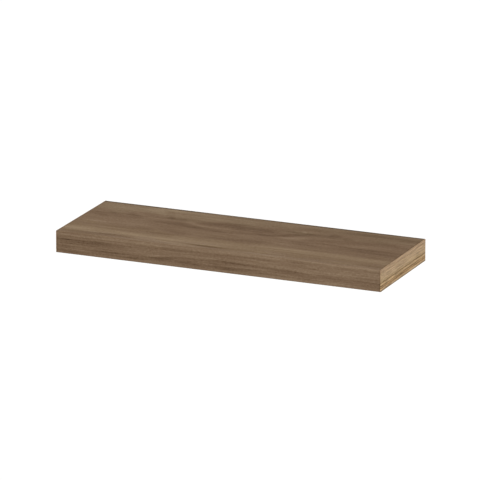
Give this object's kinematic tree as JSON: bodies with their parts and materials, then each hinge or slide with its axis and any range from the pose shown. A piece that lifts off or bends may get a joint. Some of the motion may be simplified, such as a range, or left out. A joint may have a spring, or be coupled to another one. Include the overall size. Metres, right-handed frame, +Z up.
{
  "type": "wall shelf",
  "caption": "Floating wall shelf: a hollow board in walnut decor with pale edge bands that slides onto the rods of a hidden steel wall bracket and is locked from below.",
  "frame": {"origin": "middle of the bracket's wall face, level with the rods", "axes": "+X along the shelf to the viewer's right, +Y into the wall, +Z up"},
  "size_m": [0.59, 0.2, 0.038],
  "materials": {
    "walnut_foil": "matt printed decor foil, walnut grain along the shelf",
    "tan_edge_band": "satin edge band in a paler wood decor, grain along the depth",
    "fibreboard": "plain thin fibreboard",
    "chipboard": "sawn chipboard",
    "kraft_paper": "brown kraft paper",
    "staple_wire": "galvanised wire",
    "brass_insert": "turned brass",
    "black_oxide_steel": "black oxide",
    "zinc_plated_steel": "bright zinc plating on rolled flat bar",
    "bright_steel": "drawn steel rod, zinc plated"
  },
  "bodies": {
    "bracket": {"bracket_bar": "zinc_plated_steel", "left_rod": "bright_steel", "right_rod": "bright_steel"},
    "board": {"decor_wrap": "walnut_foil", "top_skin": "fibreboard", "bottom_skin": "fibreboard", "front_rail": "chipboard", "rear_rail": "chipboard", "left_end_rail": "chipboard", "right_end_rail": "chipboard", "left_rod_block": "chipboard", "right_rod_block": "chipboard", "frame_staples": "staple_wire", "honeycomb_core": "kraft_paper", "left_edge_band": "tan_edge_band", "right_edge_band": "tan_edge_band", "left_lock_insert": "brass_insert", "right_lock_insert": "brass_insert"},
    "left_lock": {"left_lock_screw": "black_oxide_steel"},
    "right_lock": {"right_lock_screw": "black_oxide_steel"}
  },
  "joints": [
    {"name": "board_slide", "type": "slide", "parent": "bracket", "child": "board", "axis": [0, -1, 0], "range_m": [0, 0.14]},
    {"name": "left_lock_travel", "type": "slide", "parent": "board", "child": "left_lock", "axis": [0, 0, -1], "range_m": [0, 0.004]},
    {"name": "right_lock_travel", "type": "slide", "parent": "board", "child": "right_lock", "axis": [0, 0, -1], "range_m": [0, 0.004]}
  ]
}
